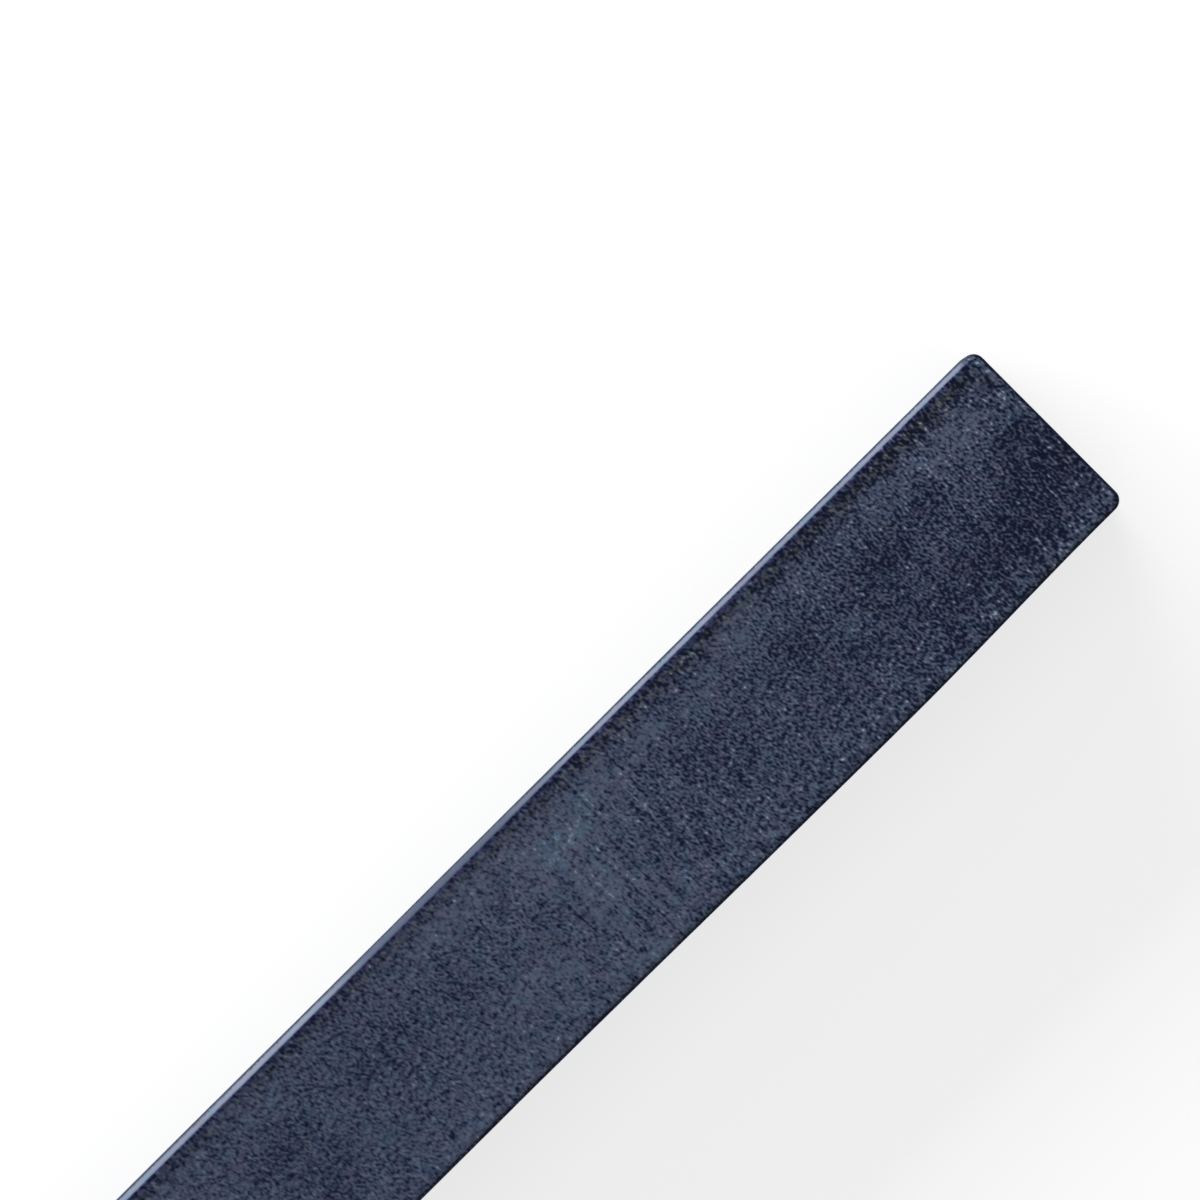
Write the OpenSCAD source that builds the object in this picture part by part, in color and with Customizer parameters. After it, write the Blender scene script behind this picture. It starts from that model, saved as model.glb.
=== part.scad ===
// Square soft pastel stick: one bar of pressed chalk and pigment, lying on one of its long faces.
// Millimetres. The origin is the middle of the underside, +X runs along the stick and +Z is up.

/* [Bar] */
// Length from end to end
stick_length = 65; // [40:1:100]
// Width across the two upright long faces
stick_width = 10; // [6:0.5:16]
// Height from the underside to the top face
stick_height = 10; // [6:0.5:16]

/* [Edges] */
// Radius rolled along the long edges and round the rim of each end
edge_radius = 0.35; // [0.15:0.05:0.7]
// Radius of the four upright end corners, seen from above
corner_radius = 0.6; // [0.45:0.05:2.5]

/* [Finish] */
// Colour of the pressed pigment
pigment_colour = "#3A4254"; // [#3A4254:Slate indigo, #7A2E2A:Oxide red, #B98A3C:Ochre]

/* [Hidden] */
$fn = 64;

// Least flat left at the middle of an upright corner, on top
corner_flat = 0.02;
// The rolled edge stays tighter than the upright corner that it runs round
rim_radius = min(edge_radius, corner_radius - corner_flat);
// The bars stop where the upright corners begin to turn
straight_length = stick_length - 2 * corner_radius;
straight_width = stick_width - 2 * corner_radius;

// Flat outline with four rounded corners, centred on the origin
module rounded_rectangle(size, radius) {
    inner = [size.x - 2 * radius, size.y - 2 * radius];
    square([size.x, inner.y], center = true);
    square([inner.x, size.y], center = true);
    for (side = [-1, 1], end = [-1, 1])
        translate([side * inner.x / 2, end * inner.y / 2])
            circle(r = radius);
}

// The stick's cross-section run along X, short of the end corners
module long_bar() {
    rotate([90, 0, 90])
        linear_extrude(height = straight_length, center = true)
            rounded_rectangle([stick_width, stick_height], rim_radius);
}

// The stick's side view run across Y, out to both end faces
module end_bar() {
    rotate([90, 0, 0])
        linear_extrude(height = straight_width, center = true)
            rounded_rectangle([stick_length, stick_height], rim_radius);
}

// One upright corner: a round post whose rim is rolled like the edges that run into it
module corner_post() {
    rotate_extrude()
        intersection() {
            rounded_rectangle([2 * corner_radius, stick_height], rim_radius);
            translate([0, -stick_height / 2])
                square([corner_radius, stick_height]);
        }
}

// The whole stick, one piece, standing on its underside
module pastel_stick() {
    color(pigment_colour)
        translate([0, 0, stick_height / 2]) {
            long_bar();
            end_bar();
            for (along = [-1, 1], across = [-1, 1])
                translate([along * straight_length / 2, across * straight_width / 2, 0])
                    corner_post();
        }
}

pastel_stick();
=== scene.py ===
"""A square soft pastel stick: one bar of pressed chalk and pigment, on a pale sheet, seen from above."""

import math
from collections import namedtuple

import bpy
from mathutils import Matrix, Vector


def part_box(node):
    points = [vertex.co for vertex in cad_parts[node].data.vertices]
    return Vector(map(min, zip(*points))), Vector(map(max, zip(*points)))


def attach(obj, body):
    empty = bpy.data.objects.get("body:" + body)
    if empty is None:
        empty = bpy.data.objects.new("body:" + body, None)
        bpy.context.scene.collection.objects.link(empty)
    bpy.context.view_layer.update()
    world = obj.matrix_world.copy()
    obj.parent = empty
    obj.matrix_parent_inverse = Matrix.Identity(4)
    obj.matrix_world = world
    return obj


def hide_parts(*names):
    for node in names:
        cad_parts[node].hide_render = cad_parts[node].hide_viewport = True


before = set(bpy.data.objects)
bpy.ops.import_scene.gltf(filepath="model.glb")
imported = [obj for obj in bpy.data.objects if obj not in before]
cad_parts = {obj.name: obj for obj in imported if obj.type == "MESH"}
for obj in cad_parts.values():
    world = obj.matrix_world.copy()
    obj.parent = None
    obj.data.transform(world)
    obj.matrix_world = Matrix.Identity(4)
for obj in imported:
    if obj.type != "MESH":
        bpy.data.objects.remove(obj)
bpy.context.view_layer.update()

MM = 0.001
stick_low, stick_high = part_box("pastel_stick")
stick_size = stick_high - stick_low
stick_middle = (stick_low + stick_high) / 2

# Edges of the bar, in millimetres
EDGE_RADIUS = 0.35
CORNER_RADIUS = 0.6

# Where the photograph shows the stick, in its own pixels
PHOTO_SIDE = 1200
STICK_WIDTH_PX = 218.8
END_MIDDLE_PX = (1051.1, 425.5)
STICK_LEAN = math.radians(44.84)

# A long lens, because the stick's two long edges run parallel in the photograph
LENS = 400
SENSOR = 36


def linear(hex_colour):
    """An sRGB hex colour as the linear red, green, blue and alpha that shaders take."""
    levels = [int(hex_colour[i : i + 2], 16) / 255 for i in (1, 3, 5)]
    return [c / 12.92 if c <= 0.04045 else ((c + 0.055) / 1.055) ** 2.4 for c in levels] + [1]


def add(tree, kind, inputs=None, **settings):
    """Adds a node with its settings. An input takes a value, a socket, or a node's first live output."""
    node = tree.nodes.new(kind)
    for name, value in settings.items():
        setattr(node, name, value)
    for key, value in (inputs or {}).items():
        if isinstance(value, bpy.types.Node):
            value = next(output for output in value.outputs if output.enabled)
        if isinstance(value, bpy.types.NodeSocket):
            tree.links.new(value, node.inputs[key])
        else:
            node.inputs[key].default_value = value
    return node


def new_material(name):
    """An empty material with its output node, as (material, tree, output)."""
    material = bpy.data.materials.new(name)
    material.use_nodes = True
    material.node_tree.nodes.clear()
    return material, material.node_tree, add(material.node_tree, "ShaderNodeOutputMaterial")


# Camera and light


def add_camera():
    """Looks straight down, rolled so that the stick leans across the picture as it does in the photograph."""
    metres_per_px = stick_size.y / STICK_WIDTH_PX
    roll = Matrix.Rotation(-STICK_LEAN, 3, "Z")
    right = (END_MIDDLE_PX[0] - PHOTO_SIDE / 2) * metres_per_px
    up = (PHOTO_SIDE / 2 - END_MIDDLE_PX[1]) * metres_per_px
    end_middle = Vector((stick_high.x, stick_middle.y, stick_high.z))
    distance = PHOTO_SIDE * metres_per_px * LENS / SENSOR
    data = bpy.data.cameras.new("camera")
    data.lens = LENS
    data.sensor_width = SENSOR
    camera = bpy.data.objects.new("camera", data)
    camera.location = end_middle - roll @ Vector((right, up, 0)) + Vector((0, 0, distance))
    camera.rotation_euler = (0, 0, -STICK_LEAN)
    bpy.context.scene.collection.objects.link(camera)
    bpy.context.scene.camera = camera


# Soft panels: name, compass angle from +X, height angle, distance, width, height (metres), brightness
PANELS = [
    ("window_panel", 90, 24, 0.50, 0.70, 0.20, 7.6),
    ("ceiling_panel", 90, 88, 0.90, 0.90, 0.90, 0.8),
    ("fill_panel", 280, 30, 0.80, 0.70, 0.40, 0.7),
]
# Strength of the even surround, as light
AMBIENT = 0.18
# The sheet's own grey, and what the eye adds to it to see white
SHEET_GREY = 0.4
SHEET_LIFT = 0.7
# The sheet's side and its gap below the stick, in metres
SHEET_SIDE = 6.0
SHEET_GAP = 0.02 * MM


def add_light():
    """Soft studio panels. The low one grazes the long edge at the stick's +Y side."""
    for name, compass, rise, distance, width, height, brightness in PANELS:
        data = bpy.data.lights.new(name, "AREA")
        data.shape = "RECTANGLE"
        data.size = width
        data.size_y = height
        data.energy = brightness * width * height * math.pi
        panel = bpy.data.objects.new(name, data)
        compass, rise = math.radians(compass), math.radians(rise)
        away = Vector(
            (math.cos(compass) * math.cos(rise), math.sin(compass) * math.cos(rise), math.sin(rise))
        )
        panel.location = stick_middle + away * distance
        panel.rotation_euler = (-away).to_track_quat("-Z", "Y").to_euler()
        panel.visible_camera = False
        bpy.context.scene.collection.objects.link(panel)


def seen_directly(tree):
    """1 for a ray from the camera, a mirror or a glass, and 0 for light on its way to a surface."""
    path = add(tree, "ShaderNodeLightPath")
    shown = add(
        tree,
        "ShaderNodeMath",
        {0: path.outputs["Is Camera Ray"], 1: path.outputs["Is Glossy Ray"]},
        operation="MAXIMUM",
    )
    return add(
        tree,
        "ShaderNodeMath",
        {0: shown, 1: path.outputs["Is Transmission Ray"]},
        operation="MAXIMUM",
    )


def add_surround():
    """An even grey surround for the light, which the eye sees as white."""
    world = bpy.data.worlds.new("surround")
    bpy.context.scene.world = world
    world.use_nodes = True
    tree = world.node_tree
    tree.nodes.clear()
    strength = add(
        tree,
        "ShaderNodeMapRange",
        {"Value": seen_directly(tree), "To Min": AMBIENT, "To Max": 1.0},
    )
    background = add(tree, "ShaderNodeBackground", {"Color": (1, 1, 1, 1), "Strength": strength})
    add(tree, "ShaderNodeOutputWorld", {"Surface": background})


def matte_paper():
    """Smooth matte paper: an even white that still takes a soft shadow."""
    material, tree, output = new_material("matte_paper")
    grey = (SHEET_GREY, SHEET_GREY, SHEET_GREY, 1)
    paper = add(tree, "ShaderNodeBsdfDiffuse", {"Color": grey})
    lift = add(
        tree,
        "ShaderNodeMath",
        {0: seen_directly(tree), 1: SHEET_LIFT},
        operation="MULTIPLY",
    )
    glow = add(tree, "ShaderNodeEmission", {"Color": (1, 1, 1, 1), "Strength": lift})
    both = add(tree, "ShaderNodeAddShader", {0: paper, 1: glow})
    tree.links.new(both.outputs[0], output.inputs["Surface"])
    return material


def add_sheet():
    """The pale sheet under the stick."""
    mesh = bpy.data.meshes.new("sheet")
    reach = SHEET_SIDE / 2
    z = stick_low.z - SHEET_GAP
    corners = [(-reach, -reach, z), (reach, -reach, z), (reach, reach, z), (-reach, reach, z)]
    mesh.from_pydata(corners, [], [(0, 1, 2, 3)])
    mesh.materials.append(matte_paper())
    sheet = bpy.data.objects.new("sheet", mesh)
    bpy.context.scene.collection.objects.link(sheet)


# The bar's shape

# Named sizes of the bar's node tree, in metres apart from the two shares
BAR_SIZES = {
    "Length": stick_size.x,
    "Width": stick_size.y,
    "Height": stick_size.z,
    "Edge Radius": EDGE_RADIUS * MM,
    "Corner Radius": CORNER_RADIUS * MM,
    # The roll opens out towards the -X end, by this share of its radius
    "Roll Growth": 0.2,
    # Share of the grid that is crowded towards the edges
    "Crowding": 0.6,
    # Faces dry a little hollow between their edges
    "Hollow Depth": 0.06 * MM,
    "Hollow Margin": 2.2 * MM,
    # Slow unevenness, and the drag marks that run across each face
    "Wave Depth": 0.03 * MM,
    "Wave Size": 7.0 * MM,
    "Drag Depth": 0.012 * MM,
    "Drag Spacing": 0.9 * MM,
    "Drag Reach": 7.0 * MM,
    # The -Y side stands out most at one place, and draws in by this much towards both ends
    "Bow Depth": 0.18 * MM,
    "Bow Peak": 19.0 * MM,
    "Bow Near Run": 12.0 * MM,
    "Bow Far Run": 26.0 * MM,
}
BAR_COUNTS = {"Rows Along": 331, "Rows Across": 55}
# Octaves of the noise in the waves and in the drag marks
RELIEF_OCTAVES = 1
# Where the mesh keeps each point's distance from the nearest edge, in metres
EDGE_ATTRIBUTE = "edge_distance"


def rounded_bar_tree(material):
    """Geometry nodes for the bar: a gridded box with rolled edges and faces that dry a little hollow."""
    tree = bpy.data.node_groups.new("rounded_bar", "GeometryNodeTree")
    for name in BAR_SIZES:
        tree.interface.new_socket(name, in_out="INPUT", socket_type="NodeSocketFloat")
    for name in BAR_COUNTS:
        tree.interface.new_socket(name, in_out="INPUT", socket_type="NodeSocketInt")
    tree.interface.new_socket("Geometry", in_out="OUTPUT", socket_type="NodeSocketGeometry")
    size = add(tree, "NodeGroupInput").outputs

    # A grid over the whole box, crowded towards the edges, where the roll needs it
    box = add(
        tree, "ShaderNodeCombineXYZ", {"X": size["Length"], "Y": size["Width"], "Z": size["Height"]}
    )
    half = add(tree, "ShaderNodeVectorMath", {0: box, "Scale": 0.5}, operation="SCALE")
    grid = add(
        tree,
        "GeometryNodeMeshCube",
        {
            "Size": box,
            "Vertices X": size["Rows Along"],
            "Vertices Y": size["Rows Across"],
            "Vertices Z": size["Rows Across"],
        },
    )
    position = add(tree, "GeometryNodeInputPosition")
    share = add(tree, "ShaderNodeVectorMath", {0: position, 1: half}, operation="DIVIDE")
    turn = add(tree, "ShaderNodeVectorMath", {0: share, "Scale": math.pi / 2}, operation="SCALE")
    eased = add(tree, "ShaderNodeVectorMath", {0: turn}, operation="SINE")
    crowded = add(
        tree,
        "ShaderNodeMix",
        {"Factor": size["Crowding"], 4: share, 5: eased},
        data_type="VECTOR",
    )
    place = add(
        tree, "ShaderNodeVectorMath", {0: crowded.outputs[1], 1: half}, operation="MULTIPLY"
    )

    # The middle of three distances to the box's faces is the distance to the nearest edge
    reach = add(tree, "ShaderNodeVectorMath", {0: place}, operation="ABSOLUTE")
    depth = add(tree, "ShaderNodeVectorMath", {0: half, 1: reach}, operation="SUBTRACT")
    depth_xyz = add(tree, "ShaderNodeSeparateXYZ", {0: depth}).outputs
    lesser = add(tree, "ShaderNodeMath", {0: depth_xyz[0], 1: depth_xyz[1]}, operation="MINIMUM")
    greater = add(tree, "ShaderNodeMath", {0: depth_xyz[0], 1: depth_xyz[1]}, operation="MAXIMUM")
    outer = add(tree, "ShaderNodeMath", {0: greater, 1: depth_xyz[2]}, operation="MINIMUM")
    edge_distance = add(tree, "ShaderNodeMath", {0: lesser, 1: outer}, operation="MAXIMUM")

    # The roll's radius grows along the bar
    place_xyz = add(tree, "ShaderNodeSeparateXYZ", {0: place}).outputs
    half_xyz = add(tree, "ShaderNodeSeparateXYZ", {0: half}).outputs
    far_end = add(tree, "ShaderNodeMath", {0: half_xyz[0], 1: -1.0}, operation="MULTIPLY")
    growth = add(
        tree,
        "ShaderNodeMapRange",
        {
            "Value": place_xyz[0],
            "From Min": half_xyz[0],
            "From Max": far_end,
            "To Min": 0.0,
            "To Max": size["Roll Growth"],
        },
        interpolation_type="SMOOTHSTEP",
    )
    swell = add(tree, "ShaderNodeMath", {0: growth, 1: 1.0}, operation="ADD")
    roll = add(tree, "ShaderNodeMath", {0: size["Edge Radius"], 1: swell}, operation="MULTIPLY")

    # The inner box that the rolled edges are centred on, and how far each point stands out from it
    radii = add(
        tree,
        "ShaderNodeCombineXYZ",
        {"X": size["Corner Radius"], "Y": size["Corner Radius"], "Z": roll},
    )
    core = add(tree, "ShaderNodeVectorMath", {0: half, 1: radii}, operation="SUBTRACT")
    core_low = add(tree, "ShaderNodeVectorMath", {0: core, "Scale": -1.0}, operation="SCALE")
    held_high = add(tree, "ShaderNodeVectorMath", {0: place, 1: core}, operation="MINIMUM")
    inner = add(tree, "ShaderNodeVectorMath", {0: held_high, 1: core_low}, operation="MAXIMUM")
    out = add(tree, "ShaderNodeVectorMath", {0: place, 1: inner}, operation="SUBTRACT")
    out_xyz = add(tree, "ShaderNodeSeparateXYZ", {0: out}).outputs
    out_x = add(tree, "ShaderNodeMath", {0: out_xyz[0]}, operation="ABSOLUTE")
    out_y = add(tree, "ShaderNodeMath", {0: out_xyz[1]}, operation="ABSOLUTE")
    out_z = add(tree, "ShaderNodeMath", {0: out_xyz[2]}, operation="ABSOLUTE")
    plan_out = add(tree, "ShaderNodeMath", {0: out_x, 1: out_y}, operation="MAXIMUM")

    # The square corner between the top and a side becomes a quarter round
    corner_flat = add(
        tree, "ShaderNodeMath", {0: size["Corner Radius"], 1: roll}, operation="SUBTRACT"
    )
    past_flat = add(tree, "ShaderNodeMath", {0: plan_out, 1: corner_flat}, operation="SUBTRACT")
    side_out = add(tree, "ShaderNodeMath", {0: past_flat, 1: 0.0}, operation="MAXIMUM")
    square = add(tree, "ShaderNodeMath", {0: side_out, 1: out_z}, operation="MAXIMUM")
    corner = add(tree, "ShaderNodeCombineXYZ", {"X": side_out, "Y": out_z})
    corner_length = add(tree, "ShaderNodeVectorMath", {0: corner}, operation="LENGTH")
    pull_in = add(
        tree, "ShaderNodeMath", {0: square, 1: corner_length.outputs["Value"]}, operation="DIVIDE"
    )
    rolled_out = add(tree, "ShaderNodeMath", {0: side_out, 1: pull_in}, operation="MULTIPLY")
    flat_out = add(tree, "ShaderNodeMath", {0: plan_out, 1: corner_flat}, operation="MINIMUM")
    plan_reach = add(tree, "ShaderNodeMath", {0: flat_out, 1: rolled_out}, operation="ADD")
    rise = add(tree, "ShaderNodeMath", {0: out_xyz[2], 1: pull_in}, operation="MULTIPLY")

    # The upright corners turn on the corner radius
    plan = add(tree, "ShaderNodeVectorMath", {0: out, 1: (1, 1, 0)}, operation="MULTIPLY")
    heading = add(tree, "ShaderNodeVectorMath", {0: plan}, operation="NORMALIZE")
    sideways = add(
        tree, "ShaderNodeVectorMath", {0: heading, "Scale": plan_reach}, operation="SCALE"
    )
    upwards = add(tree, "ShaderNodeCombineXYZ", {"Z": rise})
    standing_out = add(tree, "ShaderNodeVectorMath", {0: sideways, 1: upwards}, operation="ADD")
    rounded = add(tree, "ShaderNodeVectorMath", {0: inner, 1: standing_out}, operation="ADD")
    lift = add(tree, "ShaderNodeCombineXYZ", {"Z": half_xyz[2]})
    grounded = add(tree, "ShaderNodeVectorMath", {0: rounded, 1: lift}, operation="ADD")

    # The -Y half draws in on both sides of its widest place
    rounded_xyz = add(tree, "ShaderNodeSeparateXYZ", {0: rounded}).outputs
    along = add(tree, "ShaderNodeMath", {0: rounded_xyz[0], 1: size["Bow Peak"]}, operation="SUBTRACT")
    far_along = add(tree, "ShaderNodeMath", {0: along, 1: -1.0}, operation="MULTIPLY")
    near_share = add(tree, "ShaderNodeMath", {0: along, 1: size["Bow Near Run"]}, operation="DIVIDE")
    far_share = add(tree, "ShaderNodeMath", {0: far_along, 1: size["Bow Far Run"]}, operation="DIVIDE")
    run_share = add(tree, "ShaderNodeMath", {0: near_share, 1: far_share}, operation="MAXIMUM")
    bow = add(
        tree,
        "ShaderNodeMapRange",
        {"Value": run_share, "To Min": 0.0, "To Max": size["Bow Depth"]},
        interpolation_type="SMOOTHSTEP",
    )
    bow_share = add(tree, "ShaderNodeMath", {0: bow, 1: half_xyz[1]}, operation="DIVIDE")
    minus_side = add(tree, "ShaderNodeMath", {0: rounded_xyz[1], 1: 0.0}, operation="MINIMUM")
    minus_reach = add(tree, "ShaderNodeMath", {0: minus_side, 1: -1.0}, operation="MULTIPLY")
    drawn_in = add(tree, "ShaderNodeMath", {0: minus_reach, 1: bow_share}, operation="MULTIPLY")
    bowing = add(tree, "ShaderNodeCombineXYZ", {"Y": drawn_in})
    bowed = add(tree, "ShaderNodeVectorMath", {0: grounded, 1: bowing}, operation="ADD")
    stored = add(
        tree,
        "GeometryNodeStoreNamedAttribute",
        {"Geometry": grid.outputs["Mesh"], "Name": EDGE_ATTRIBUTE, "Value": edge_distance},
        data_type="FLOAT",
        domain="POINT",
    )
    bar = add(tree, "GeometryNodeSetPosition", {"Geometry": stored, "Position": bowed})

    # Relief, all of it cut inwards: hollow faces, slow waves, and drag marks across the bar
    kept_distance = add(
        tree, "GeometryNodeInputNamedAttribute", {"Name": EDGE_ATTRIBUTE}, data_type="FLOAT"
    )
    hollow = add(
        tree,
        "ShaderNodeMapRange",
        {
            "Value": kept_distance.outputs["Attribute"],
            "From Min": size["Edge Radius"],
            "From Max": size["Hollow Margin"],
            "To Min": 0.0,
            "To Max": size["Hollow Depth"],
        },
        interpolation_type="SMOOTHSTEP",
    )
    on_bar = add(tree, "GeometryNodeInputPosition")
    wave_scale = add(tree, "ShaderNodeMath", {0: 1.0, 1: size["Wave Size"]}, operation="DIVIDE")
    waves = add(
        tree,
        "ShaderNodeTexNoise",
        {"Vector": on_bar, "Scale": wave_scale, "Detail": RELIEF_OCTAVES},
    )
    wave = add(tree, "ShaderNodeMath", {0: waves, 1: size["Wave Depth"]}, operation="MULTIPLY")
    drag_size = add(
        tree,
        "ShaderNodeCombineXYZ",
        {"X": size["Drag Spacing"], "Y": size["Drag Reach"], "Z": size["Drag Reach"]},
    )
    drag_place = add(tree, "ShaderNodeVectorMath", {0: on_bar, 1: drag_size}, operation="DIVIDE")
    drags = add(
        tree,
        "ShaderNodeTexNoise",
        {"Vector": drag_place, "Scale": 1.0, "Detail": RELIEF_OCTAVES},
    )
    drag = add(tree, "ShaderNodeMath", {0: drags, 1: size["Drag Depth"]}, operation="MULTIPLY")
    uneven = add(tree, "ShaderNodeMath", {0: wave, 1: drag}, operation="ADD")
    cut = add(tree, "ShaderNodeMath", {0: hollow, 1: uneven}, operation="ADD")
    inwards = add(tree, "ShaderNodeMath", {0: cut, 1: -1.0}, operation="MULTIPLY")
    normal = add(tree, "GeometryNodeInputNormal")
    offset = add(tree, "ShaderNodeVectorMath", {0: normal, "Scale": inwards}, operation="SCALE")
    worn = add(tree, "GeometryNodeSetPosition", {"Geometry": bar, "Offset": offset})
    smooth = add(tree, "GeometryNodeSetShadeSmooth", {"Geometry": worn, "Shade Smooth": True})
    realized = add(tree, "GeometryNodeRealizeInstances", {"Geometry": smooth})
    finished = add(
        tree, "GeometryNodeSetMaterial", {"Geometry": realized, "Material": material}
    )
    add(tree, "NodeGroupOutput", {"Geometry": finished})
    return tree


def pastel_bar(material):
    """The stick as one plain mesh, made by its node tree."""
    maker = bpy.data.objects.new("bar_maker", bpy.data.meshes.new("bar_maker"))
    bpy.context.scene.collection.objects.link(maker)
    modifier = maker.modifiers.new("rounded_bar", "NODES")
    modifier.node_group = rounded_bar_tree(material)
    wanted = {**BAR_SIZES, **BAR_COUNTS}
    for socket in modifier.node_group.interface.items_tree:
        if socket.in_out == "INPUT":
            modifier[socket.identifier] = wanted[socket.name]
    shaped = maker.evaluated_get(bpy.context.evaluated_depsgraph_get())
    mesh = bpy.data.meshes.new_from_object(shaped)
    bpy.data.objects.remove(maker)
    mesh.name = "pastel_bar"
    bar = bpy.data.objects.new("pastel_bar", mesh)
    bpy.context.scene.collection.objects.link(bar)
    return bar


# Pressed chalk pastel

# The stick's faces, in millimetres from the origin
END, SIDE, TOP = stick_high / MM

# Tones are counted in sRGB levels of red, and the pigment gives each its colour
PIGMENT = {
    4: "#040D24",
    20: "#141D36",
    35: "#232B41",
    50: "#333B51",
    70: "#434B60",
    90: "#515A6E",
    110: "#596277",
    150: "#96A0B3",
}
TONE_TOP = 150
MEAN_TONE = 60.5
# At its own warmth the pigment keeps its colour: flecks of dust are bluer, and bare places are browner
WARMTH_TINTS = {0.0: "#E4FAFF", 0.35: "#FFFFFF", 0.5: "#FFFFFF", 1.0: "#FFF0D1"}
OWN_WARMTH = 0.5
# What a tone of smudge, a tone of fleck and the strip that is partly bare and partly painted shade add to the
# warmth
SMUDGE_WARMTH = -0.004
FLECK_WARMTH = -0.03
STRIP_WARMTH = 0.42
# The pigments drift a little apart everywhere
DRIFT_TINTS = {0.0: "#EFFCFF", 0.5: "#FFFFFF", 1.0: "#FFF5F5"}
DRIFT_MIDDLE = 0.5
DRIFT_GAIN = 1.8
# The painted shade just inside the lit edge is the bluest
INNER_SHADE_TINTS = {0.0: "#FFFFFF", 1.0: "#DCDAFF"}

# A layer of unevenness: its size along X, Y and Z in millimetres, its lean in radians, its octaves,
# and what it adds in tones and in millimetres of height
Layer = namedtuple("Layer", "size lean octaves tones height")
LAYERS = {
    "grain": Layer((0.115, 0.19, 0.165), 0.28, 0, 110, 0.009),
    "specks": Layer((0.17, 0.3, 0.21), 0.6, 0, 60, 0.008),
    "threads": Layer((0.22, 2.0, 0.4), 0.0, 1, 54, 0.006),
    "clumps": Layer((0.45, 0.42, 0.42), 0.0, 1, 27, 0.0),
    "blotches": Layer((0.9, 0.8, 0.8), 0.0, 2, 11, 0.0),
    "mottle": Layer((6.0, 4.0, 4.0), 0.0, 2, 10, 0.0),
    "tints": Layer((0.8, 0.7, 0.7), 0.0, 0, 0, 0.0),
    "flakes": Layer((0.42, 0.4, 0.4), 0.0, 1, 0, 0.0),
    "scratches": Layer((0.12, 1.0, 0.25), -0.06, 0, 62, 0.0),
}
# Each layer's pattern is shifted by this many millimetres from the one before
LAYER_SHIFT = 17.0
# In these layers the palest specks and the darkest pits stand apart from the rest, the pits more so
CRISP_LAYERS = ("grain", "specks", "threads", "scratches")
CRISPNESS = 6.0
PITTING = 0.7
# Share of these layers that shows on the smoother upright faces and through the thickest dust,
# and the tones of dust that count as the thickest
UPRIGHT_GRAIN = 0.5
DUSTED_GRAIN = 0.5
FULL_DUST = 24.0
# Factors that change along the stick: a place on X in millimetres and the factor there, twice
ALONG = {
    "grain": ((-12.0, 0.8), (28.0, 1.5)),
    "clumps": ((6.0, 1.2), (25.0, 0.7)),
    "scratches": ((14.0, 0.0), (27.0, 1.0)),
    # The strip beside the lit edge, partly bare and partly painted shade, is stronger towards +X
    "strip": ((-15.0, 0.5), (30.0, 1.25)),
}
# Values that stand out at one place: the place on X and its reach in millimetres, the value there,
# and the value elsewhere
AT_PLACE = {
    "threads": (6.0, 8.0, 1.7, 0.7),
    # The pale rub is a real rub with a painted highlight on it, and it is dimmest at one place
    "rub_highlight_tone": (-2.0, 10.0, 92, 136),
}

# Smudges and flecks are pulled out of shape: the pattern's size and its pull in millimetres, and its octaves
WARP_SIZE = 1.0
WARP_REACH = 1.3
WARP_OCTAVES = 2

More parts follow.
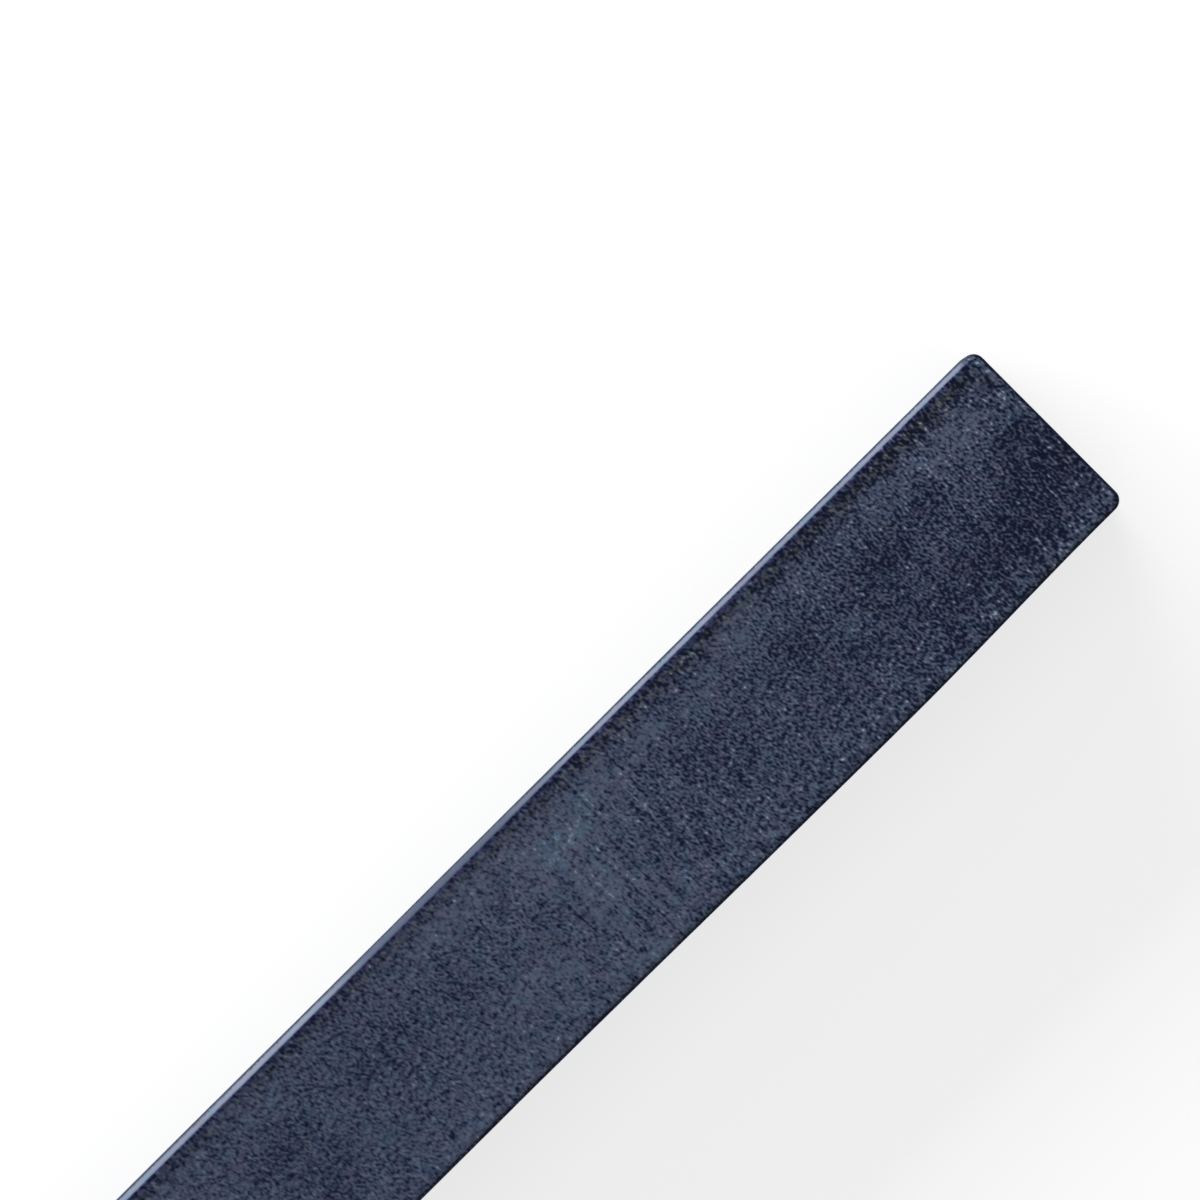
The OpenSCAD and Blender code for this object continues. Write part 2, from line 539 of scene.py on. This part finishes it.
# Dust rubbed on and places rubbed bare: centre in millimetres, half length, half width, and tones
SMUDGES = [
    ((28.4, 2.7, TOP), 2.6, 1.3, 22),
    ((24.8, 3.0, TOP), 2.4, 1.0, 10),
    ((19.5, 3.0, TOP), 2.6, 0.9, 9),
    ((15.9, 3.9, TOP), 2.0, 1.4, 21),
    ((19.7, -0.1, TOP), 1.6, 0.8, 8),
    ((13.2, 2.8, TOP), 2.2, 1.0, 16),
    ((10.0, 2.9, TOP), 2.4, 0.9, 12),
    ((7.0, 2.9, TOP), 2.2, 1.2, 26),
    ((3.4, 2.3, TOP), 3.8, 2.4, 26),
    ((3.0, -0.5, TOP), 2.8, 1.6, 18),
    ((2.4, -4.3, TOP), 3.6, 1.1, 12),
    ((-1.8, 3.3, TOP), 2.8, 1.3, 17),
    ((-6.0, 3.1, TOP), 4.0, 1.3, 10),
    ((-15.8, 3.7, TOP), 3.6, 1.2, 11),
    ((0.6, 4.0, TOP), 3.2, 1.1, 14),
    ((31.8, -4.4, TOP), 1.2, 0.8, 10),
    ((29.2, -4.6, TOP), 2.2, 0.8, 30),
    ((-9.7, -4.4, TOP), 2.4, 1.0, 10),
    ((-2.0, -3.5, TOP), 16.0, 3.0, 7),
    ((1.0, -0.5, TOP), 8.0, 4.5, 6),
    ((32.2, 3.6, TOP), 1.2, 1.0, 6),
    ((31.3, -0.4, TOP), 3.0, 3.0, -36),
    ((28.0, -3.0, TOP), 6.5, 3.0, -30),
    ((22.6, -3.3, TOP), 1.8, 1.2, -10),
    ((22.6, 1.0, TOP), 4.2, 1.5, -18),
    ((16.9, 1.0, TOP), 2.6, 1.4, -20),
    ((10.8, 0.5, TOP), 2.0, 1.2, -15),
    ((8.2, 1.6, TOP), 1.0, 0.8, -10),
    ((-9.5, 1.3, TOP), 3.0, 1.1, -10),
    ((-15.7, 1.4, TOP), 2.6, 1.2, -17),
    ((-14.9, -1.4, TOP), 2.8, 1.8, -13),
    ((21.0, -1.5, TOP), 12.0, 5.0, -8),
    ((20.5, -1.2, TOP), 6.0, 2.2, -6),
    ((26.2, 1.5, TOP), 1.6, 1.0, -9),
    ((32.2, -3.4, TOP), 0.9, 1.6, -9),
    ((30.2, 2.2, TOP), 1.7, 0.9, 12),
    ((15.5, -3.2, TOP), 2.6, 1.2, 8),
    ((4.6, -2.4, TOP), 2.2, 1.4, 10),
    ((-2.6, -1.4, TOP), 3.4, 1.6, 12),
    ((-20.2, 3.5, TOP), 1.8, 1.6, 12),
    ((5.0, 3.7, TOP), 2.4, 0.9, 10),
    ((-4.2, 4.0, TOP), 2.6, 1.1, 12),
    ((-12.0, -SIDE, 6.0), 7.0, 2.6, 20),
    ((14.0, -SIDE, 3.8), 6.0, 2.2, -12),
    ((22.0, -SIDE, 7.0), 4.0, 1.8, 14),
    ((6.0, SIDE, 5.2), 8.0, 2.6, 18),
    ((-20.0, SIDE, 6.0), 5.0, 2.4, -12),
    ((END, -1.0, 6.0), 2.2, 2.6, 18),
    ((-END, 1.0, 4.5), 2.2, 2.8, 14),
]

# Flecks of dust with clear borders: centre in millimetres, half length and half width
FLECKS = [
    ((27.3, -0.3, TOP), 0.6, 0.4),
    ((19.7, -0.1, TOP), 0.8, 0.4),
    ((15.7, 2.9, TOP), 0.5, 0.4),
    ((12.0, 2.1, TOP), 0.6, 0.5),
    ((9.4, 3.0, TOP), 0.8, 0.4),
    ((8.8, 0.1, TOP), 0.5, 0.5),
    ((4.9, 2.8, TOP), 0.6, 0.7),
    ((4.6, 1.8, TOP), 0.6, 0.6),
    ((2.6, 2.3, TOP), 0.9, 0.8),
    ((3.9, -0.3, TOP), 0.9, 0.7),
    ((2.4, -2.1, TOP), 0.7, 0.7),
    ((2.4, -4.2, TOP), 0.8, 0.4),
    ((5.6, -3.4, TOP), 0.5, 0.5),
    ((-0.6, -2.2, TOP), 0.6, 0.5),
    ((-3.2, 3.0, TOP), 0.7, 0.6),
    ((-2.8, -0.5, TOP), 0.5, 0.4),
    ((-10.4, 0.2, TOP), 0.8, 0.5),
    ((-12.2, -1.5, TOP), 0.7, 0.5),
    ((-8.0, -SIDE, 6.5), 1.4, 0.8),
    ((11.0, -SIDE, 4.0), 1.0, 0.7),
    ((20.0, SIDE, 6.2), 1.2, 0.6),
    ((-16.0, SIDE, 4.4), 1.0, 0.7),
    ((END, 1.6, 6.4), 0.8, 0.8),
    ((-END, -1.4, 5.2), 0.8, 0.9),
]

# Fine marks that the drag of a finger or of paper leaves on top: place in millimetres, half length,
# lean in degrees, and tones
MARKS = [
    ((30.4, -2.2), 0.6, 4, 90),
    ((30.8, -1.7), 0.5, 6, 40),
    ((30.7, 0.4), 0.9, 0, 34),
    ((30.1, -4.3), 0.9, 78, 40),
    ((5.4, 2.6), 2.8, 0, 26),
    ((5.2, 2.6), 2.6, 0, -36),
    ((4.85, -0.6), 2.4, 0, -40),
    ((4.15, -3.0), 2.0, 0, -44),
    ((3.1, -1.8), 3.0, 0, 34),
    ((2.9, -1.2), 3.4, 0, -34),
    ((1.4, -0.6), 1.8, 2, -48),
    ((-4.7, 1.6), 3.4, 0, -40),
    ((7.0, 1.2), 1.5, 0, 40),
    ((6.3, -1.6), 2.4, 0, -34),
    ((10.5, 3.8), 1.0, 0, -50),
]

# The flakes' noise counts this far either way, and with it the dust of a smudge thins and thickens
# by these factors
FLAKE_RANGE = 0.08
FLAKE_FACTORS = (0.45, 1.55)
# A fleck's tones, where its border starts and where it is full, and how much the flakes tear that border
FLECK_TONES = 9
FLECK_BORDER = (0.38, 0.62)
FLECK_TEAR = 1.2
# Half width and half depth of a fine mark, in millimetres
MARK_WIDTH = 0.08
MARK_DEPTH = 1.0

# The long edge at +Y and +Z, which the low window panel grazes, is painted pale: partly a real rub and partly
# a painted highlight.
# A place on X and the rub's width there, twice, in millimetres
RUB_WIDTHS = ((8.0, 0.30), (-4.0, 0.36))
# Tones that the mottle takes the rub and its painted highlight up and down by
RUB_UNEVEN = 40
# Tones of the rolled edges, of the painted shade just inside the rub, of the strip past it (partly bare,
# partly painted shade), and of the painted shade line just below the top rim
EDGE_TONES = 13
INNER_SHADE_TONES = -22
STRIP_TONES = -21
SHADE_LINE_TONES = -55
# Masks: the distance that each one follows, where it starts and where it is full, in millimetres
MASKS = {
    # The rolled edges, the painted shade and the strip along them, and all that lies near an edge
    "rolled": ("past_rub", 0.02, -0.12),
    "inner_shade": ("from_edge", 0.6, 0.4),
    "strip": ("from_edge", 1.5, 0.4),
    "rim": ("from_edge", 1.1, 0.8),
    # The painted shade line's upper and lower border, the foot of the rub, and all that lies near the top
    "line_head": ("below_top", 0.07, 0.105),
    "line_foot": ("below_top", 0.42, 0.28),
    "rub_foot": ("below_top", 0.42, 0.1),
    "top": ("below_top", 1.2, 0.6),
    # The top and the underside, what lies near the +Y side, and the length between the end rims
    "flat": ("from_face", 0.6, 0.2),
    "side": ("from_side", 1.8, 1.2),
    "length": ("from_end", 0.2, 1.2),
}

# Chalk scatters light evenly, and the rub has polished it a little
CHALK_ROUGHNESS = 0.92
RUB_ROUGHNESS = 0.7
CHALK_IOR = 1.5
CHALK_SPECULAR = 0.15


def soft_spot(tree, ground, centre, size, lean=0):
    """1 at the centre and 0 past an ellipsoid of these half sizes, in the ground's own millimetres."""
    local = add(
        tree,
        "ShaderNodeMapping",
        {"Vector": ground, "Location": centre, "Rotation": (0, 0, math.radians(lean)), "Scale": size},
        vector_type="TEXTURE",
    )
    return add(tree, "ShaderNodeTexGradient", {"Vector": local}, gradient_type="SPHERICAL").outputs["Fac"]


def chalk_layers(tree, place):
    """The layers of unevenness by name, each centred on zero."""
    layers = {}
    for name, layer in LAYERS.items():
        shift = LAYER_SHIFT * len(layers)
        laid = add(
            tree,
            "ShaderNodeMapping",
            {
                "Vector": place,
                "Location": (shift, shift, 0),
                "Rotation": (0, 0, layer.lean),
                "Scale": layer.size,
            },
            vector_type="TEXTURE",
        )
        noise = add(tree, "ShaderNodeTexNoise", {"Vector": laid, "Scale": 1.0, "Detail": layer.octaves})
        layers[name] = add(tree, "ShaderNodeMath", {0: noise, 1: 0.5}, operation="SUBTRACT")
    return layers


def values_along(tree, x):
    """Factors and tones by name that change along the stick."""
    values = {}
    for name, ((first_place, first_factor), (last_place, last_factor)) in ALONG.items():
        values[name] = add(
            tree,
            "ShaderNodeMapRange",
            {
                "Value": x,
                "From Min": first_place,
                "From Max": last_place,
                "To Min": first_factor,
                "To Max": last_factor,
            },
        )
    for name, (place, reach, there, elsewhere) in AT_PLACE.items():
        offset = add(tree, "ShaderNodeMath", {0: x, 1: place}, operation="SUBTRACT")
        distance = add(tree, "ShaderNodeMath", {0: offset}, operation="ABSOLUTE")
        values[name] = add(
            tree,
            "ShaderNodeMapRange",
            {"Value": distance, "From Max": reach, "To Min": there, "To Max": elsewhere},
            interpolation_type="SMOOTHSTEP",
        )
    return values


def edge_masks(tree, place_xyz, strip_factor):
    """Masks by name for the rolled edges, the pale rub with its painted highlight, and the painted shade that
    runs beside it and below the rim.
    """
    edge = add(tree, "ShaderNodeAttribute", attribute_name=EDGE_ATTRIBUTE).outputs["Fac"]
    from_edge = add(tree, "ShaderNodeMath", {0: edge, 1: 1 / MM}, operation="MULTIPLY")
    (near_place, near_width), (far_place, far_width) = RUB_WIDTHS
    rub_width = add(
        tree,
        "ShaderNodeMapRange",
        {
            "Value": place_xyz["X"],
            "From Min": near_place,
            "From Max": far_place,
            "To Min": near_width,
            "To Max": far_width,
        },
        interpolation_type="SMOOTHSTEP",
    )
    rise = add(tree, "ShaderNodeMath", {0: place_xyz["Z"], 1: TOP / 2}, operation="SUBTRACT")
    level = add(tree, "ShaderNodeMath", {0: rise}, operation="ABSOLUTE")
    from_middle = add(tree, "ShaderNodeMath", {0: place_xyz["X"]}, operation="ABSOLUTE")
    distances = {"from_edge": from_edge}
    for name, whole, part in (
        ("past_rub", from_edge, rub_width),
        ("below_top", TOP, place_xyz["Z"]),
        ("from_face", TOP / 2, level),
        ("from_side", SIDE, place_xyz["Y"]),
        ("from_end", END, from_middle),
    ):
        distances[name] = add(tree, "ShaderNodeMath", {0: whole, 1: part}, operation="SUBTRACT")
    masks = {}
    for name, (distance, start, full) in MASKS.items():
        masks[name] = add(
            tree,
            "ShaderNodeMapRange",
            {"Value": distances[distance], "From Min": start, "From Max": full},
            interpolation_type="SMOOTHSTEP",
        )

    # Along the lit, rubbed edge the pale rub with its painted highlight comes first, then a band of painted
    # shade, then the strip that is partly bare and partly painted shade
    lit_rubbed_edge = masks["length"]
    for name in ("side", "top"):
        lit_rubbed_edge = add(tree, "ShaderNodeMath", {0: lit_rubbed_edge, 1: masks[name]}, operation="MULTIPLY")
    rub, to_inner_shade, to_strip = [
        add(tree, "ShaderNodeMath", {0: lit_rubbed_edge, 1: masks[name]}, operation="MULTIPLY")
        for name in ("rolled", "inner_shade", "strip")
    ]
    past_edge = add(tree, "ShaderNodeMath", {0: to_inner_shade, 1: rub}, operation="SUBTRACT")
    inner_shade = add(tree, "ShaderNodeMath", {0: past_edge, 1: masks["flat"]}, operation="MULTIPLY")
    past_inner_shade = add(tree, "ShaderNodeMath", {0: to_strip, 1: to_inner_shade}, operation="SUBTRACT")
    beside = add(tree, "ShaderNodeMath", {0: past_inner_shade, 1: masks["flat"]}, operation="MULTIPLY")
    bare_shaded_strip = add(tree, "ShaderNodeMath", {0: beside, 1: strip_factor}, operation="MULTIPLY")
    rub_and_highlight = add(tree, "ShaderNodeMath", {0: rub, 1: masks["rub_foot"]}, operation="MULTIPLY")
    # A line of painted shade runs just below the top rim, apart from the lit, rubbed edge
    line = add(tree, "ShaderNodeMath", {0: 1.0, 1: lit_rubbed_edge}, operation="SUBTRACT")
    for name in ("line_head", "line_foot", "rim"):
        line = add(tree, "ShaderNodeMath", {0: line, 1: masks[name]}, operation="MULTIPLY")
    return {
        "rolled": masks["rolled"],
        "flat": masks["flat"],
        "rub": rub,
        "rub_and_highlight": rub_and_highlight,
        "inner_shade": inner_shade,
        "strip": bare_shaded_strip,
        "line": line,
    }


def chalk_dust(tree, place, flakes):
    """Tones of the smudges and of the flecks, as (smudge, fleck)."""
    warp_noise = add(
        tree, "ShaderNodeTexNoise", {"Vector": place, "Scale": 1 / WARP_SIZE, "Detail": WARP_OCTAVES}
    ).outputs["Color"]
    warp = add(tree, "ShaderNodeVectorMath", {0: warp_noise, 1: (0.5, 0.5, 0.5)}, operation="SUBTRACT")
    reach = (WARP_REACH, WARP_REACH, WARP_REACH)
    warped = add(
        tree, "ShaderNodeVectorMath", {0: warp, 1: reach, 2: place}, operation="MULTIPLY_ADD"
    )

    # Flakes break up the dust, and a place rubbed bare stays smooth
    breaks = add(
        tree,
        "ShaderNodeMapRange",
        {
            "Value": flakes,
            "From Min": -FLAKE_RANGE,
            "From Max": FLAKE_RANGE,
            "To Min": FLAKE_FACTORS[0],
            "To Max": FLAKE_FACTORS[1],
        },
        interpolation_type="SMOOTHSTEP",
    )
    smudge = 0.0
    for centre, half_length, half_width, tones in SMUDGES:
        patch = soft_spot(tree, warped, centre, (half_length, half_width, half_width))
        smudge = add(
            tree, "ShaderNodeMath", {0: patch, 1: tones, 2: smudge}, operation="MULTIPLY_ADD"
        )
    laid_on = add(tree, "ShaderNodeMath", {0: smudge, 1: 0.0}, operation="MAXIMUM")
    rubbed_bare = add(tree, "ShaderNodeMath", {0: smudge, 1: 0.0}, operation="MINIMUM")
    smudge = add(
        tree, "ShaderNodeMath", {0: laid_on, 1: breaks, 2: rubbed_bare}, operation="MULTIPLY_ADD"
    )

    # The border of a fleck lies where its spot has faded by half, and flakes make it ragged
    near_fleck = 0.0
    for centre, half_length, half_width in FLECKS:
        patch = soft_spot(tree, warped, centre, (2 * half_length, 2 * half_width, 2 * half_width))
        near_fleck = add(tree, "ShaderNodeMath", {0: patch, 1: near_fleck}, operation="MAXIMUM")
    ragged = add(
        tree, "ShaderNodeMath", {0: flakes, 1: FLECK_TEAR, 2: near_fleck}, operation="MULTIPLY_ADD"
    )
    fleck = add(
        tree,
        "ShaderNodeMapRange",
        {
            "Value": ragged,
            "From Min": FLECK_BORDER[0],
            "From Max": FLECK_BORDER[1],
            "To Max": FLECK_TONES,
        },
        interpolation_type="SMOOTHSTEP",
    )
    return smudge, fleck


def chalk_marks(tree, place):
    """Tones of the fine marks, which keep straight."""
    marks = 0.0
    for centre, half_length, lean, tones in MARKS:
        patch = soft_spot(tree, place, (*centre, TOP), (MARK_WIDTH, half_length, MARK_DEPTH), lean)
        marks = add(tree, "ShaderNodeMath", {0: patch, 1: tones, 2: marks}, operation="MULTIPLY_ADD")
    return marks


def shown_layers(tree, layers, openness, values):
    """The layers as they show: crisp, weaker where the grain is closed, and changing along the stick."""
    shown = dict(layers)
    for name in CRISP_LAYERS:
        slope = add(
            tree,
            "ShaderNodeMath",
            {0: layers[name], 1: CRISPNESS, 2: -PITTING},
            operation="MULTIPLY_ADD",
        )
        gain = add(tree, "ShaderNodeMath", {0: slope, 1: layers[name], 2: 1.0}, operation="MULTIPLY_ADD")
        crisp = add(tree, "ShaderNodeMath", {0: gain, 1: layers[name]}, operation="MULTIPLY")
        shown[name] = add(tree, "ShaderNodeMath", {0: crisp, 1: openness}, operation="MULTIPLY")
    for name in ("grain", "clumps", "scratches", "threads"):
        shown[name] = add(tree, "ShaderNodeMath", {0: shown[name], 1: values[name]}, operation="MULTIPLY")
    return shown


def tinted(tree, tints):
    """The product of several colour ramps: each tint is what its ramp follows, and the ramp's stops."""
    colour = (1, 1, 1, 1)
    for value, stops in tints:
        ramp = add(tree, "ShaderNodeValToRGB", {"Fac": value})
        elements = ramp.color_ramp.elements
        lowest, *between, highest = stops
        elements[0].position = lowest
        elements[1].position = highest
        for position in between:
            elements.new(position)
        for element, hex_colour in zip(elements, stops.values()):
            element.color = linear(hex_colour)
        colour = add(
            tree,
            "ShaderNodeMix",
            {"Factor": 1.0, 6: colour, 7: ramp.outputs["Color"]},
            data_type="RGBA",
            blend_type="MULTIPLY",
        ).outputs[2]
    return colour


def chalk_relief(tree, layers, flatness):
    """Relief of the chalk that is too fine for the mesh."""
    height = 0.0
    for name, layer in LAYERS.items():
        if layer.height:
            height = add(
                tree,
                "ShaderNodeMath",
                {0: layers[name], 1: layer.height, 2: height},
                operation="MULTIPLY_ADD",
            )
    height = add(tree, "ShaderNodeMath", {0: height, 1: flatness}, operation="MULTIPLY")
    return add(tree, "ShaderNodeBump", {"Strength": 1.0, "Distance": MM, "Height": height})


def pressed_chalk():
    """Pressed chalk pastel, slate indigo: dead matt and fine-grained, smoky where dust lies on it."""
    material, tree, output = new_material("pressed_chalk_pastel")
    coordinates = add(tree, "ShaderNodeTexCoord").outputs["Object"]
    place = add(tree, "ShaderNodeVectorMath", {0: coordinates, "Scale": 1 / MM}, operation="SCALE")
    place_xyz = add(tree, "ShaderNodeSeparateXYZ", {0: place}).outputs
    layers = chalk_layers(tree, place)
    values = values_along(tree, place_xyz["X"])
    masks = edge_masks(tree, place_xyz, values["strip"])
    smudge, fleck = chalk_dust(tree, place, layers["flakes"])
    dust = add(tree, "ShaderNodeMath", {0: smudge, 1: fleck}, operation="ADD")

    # Dust fills the grain that it lies on
    fill = add(
        tree,
        "ShaderNodeMapRange",
        {"Value": dust, "From Max": FULL_DUST, "To Min": 1.0, "To Max": DUSTED_GRAIN},
    )
    flatness = add(
        tree, "ShaderNodeMapRange", {"Value": masks["flat"], "To Min": UPRIGHT_GRAIN, "To Max": 1.0}
    )
    openness = add(tree, "ShaderNodeMath", {0: fill, 1: flatness}, operation="MULTIPLY")
    shown = shown_layers(tree, layers, openness, values)

    # All tones together, with the pale rub and its painted highlight laid over them
    tone = add(tree, "ShaderNodeMath", {0: dust, 1: MEAN_TONE}, operation="ADD")
    for name, layer in LAYERS.items():
        if layer.tones:
            tone = add(
                tree, "ShaderNodeMath", {0: shown[name], 1: layer.tones, 2: tone}, operation="MULTIPLY_ADD"
            )
    for mask, tones in (
        (chalk_marks(tree, place), 1.0),
        (masks["rolled"], EDGE_TONES),
        (masks["inner_shade"], INNER_SHADE_TONES),
        (masks["strip"], STRIP_TONES),
        (masks["line"], SHADE_LINE_TONES),
    ):
        tone = add(tree, "ShaderNodeMath", {0: mask, 1: tones, 2: tone}, operation="MULTIPLY_ADD")
    # The pale rub's tone: a real rub, with a painted highlight where the low panel grazes the edge
    rub_highlight_tone = add(
        tree,
        "ShaderNodeMath",
        {0: layers["mottle"], 1: RUB_UNEVEN, 2: values["rub_highlight_tone"]},
        operation="MULTIPLY_ADD",
    )
    rubbed = add(
        tree, "ShaderNodeMix", {"Factor": masks["rub_and_highlight"], 2: tone, 3: rub_highlight_tone}, data_type="FLOAT"
    )

    # The pigment's colour for each tone, and its tints
    share = add(tree, "ShaderNodeMath", {0: rubbed, 1: TONE_TOP}, operation="DIVIDE")
    pigment = {tone_level / TONE_TOP: hex_colour for tone_level, hex_colour in PIGMENT.items()}
    warmth = OWN_WARMTH
    for mask, amount in (
        (smudge, SMUDGE_WARMTH),
        (fleck, FLECK_WARMTH),
        (masks["strip"], STRIP_WARMTH),
    ):
        warmth = add(tree, "ShaderNodeMath", {0: mask, 1: amount, 2: warmth}, operation="MULTIPLY_ADD")
    drift = add(
        tree,
        "ShaderNodeMath",
        {0: layers["tints"], 1: DRIFT_GAIN, 2: DRIFT_MIDDLE},
        operation="MULTIPLY_ADD",
    )
    tints = [
        (share, pigment),
        (warmth, WARMTH_TINTS),
        (drift, DRIFT_TINTS),
        (masks["inner_shade"], INNER_SHADE_TINTS),
    ]
    roughness = add(
        tree,
        "ShaderNodeMapRange",
        {"Value": masks["rub"], "To Min": CHALK_ROUGHNESS, "To Max": RUB_ROUGHNESS},
    )
    surface = add(
        tree,
        "ShaderNodeBsdfPrincipled",
        {
            "Base Color": tinted(tree, tints),
            "Roughness": roughness,
            "IOR": CHALK_IOR,
            "Specular IOR Level": CHALK_SPECULAR,
            "Normal": chalk_relief(tree, layers, flatness),
        },
    )
    tree.links.new(surface.outputs[0], output.inputs["Surface"])
    return material


add_camera()
add_light()
add_surround()
add_sheet()
bpy.context.scene.view_settings.view_transform = "Standard"

stick = pastel_bar(pressed_chalk())
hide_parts("pastel_stick")
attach(stick, "root")
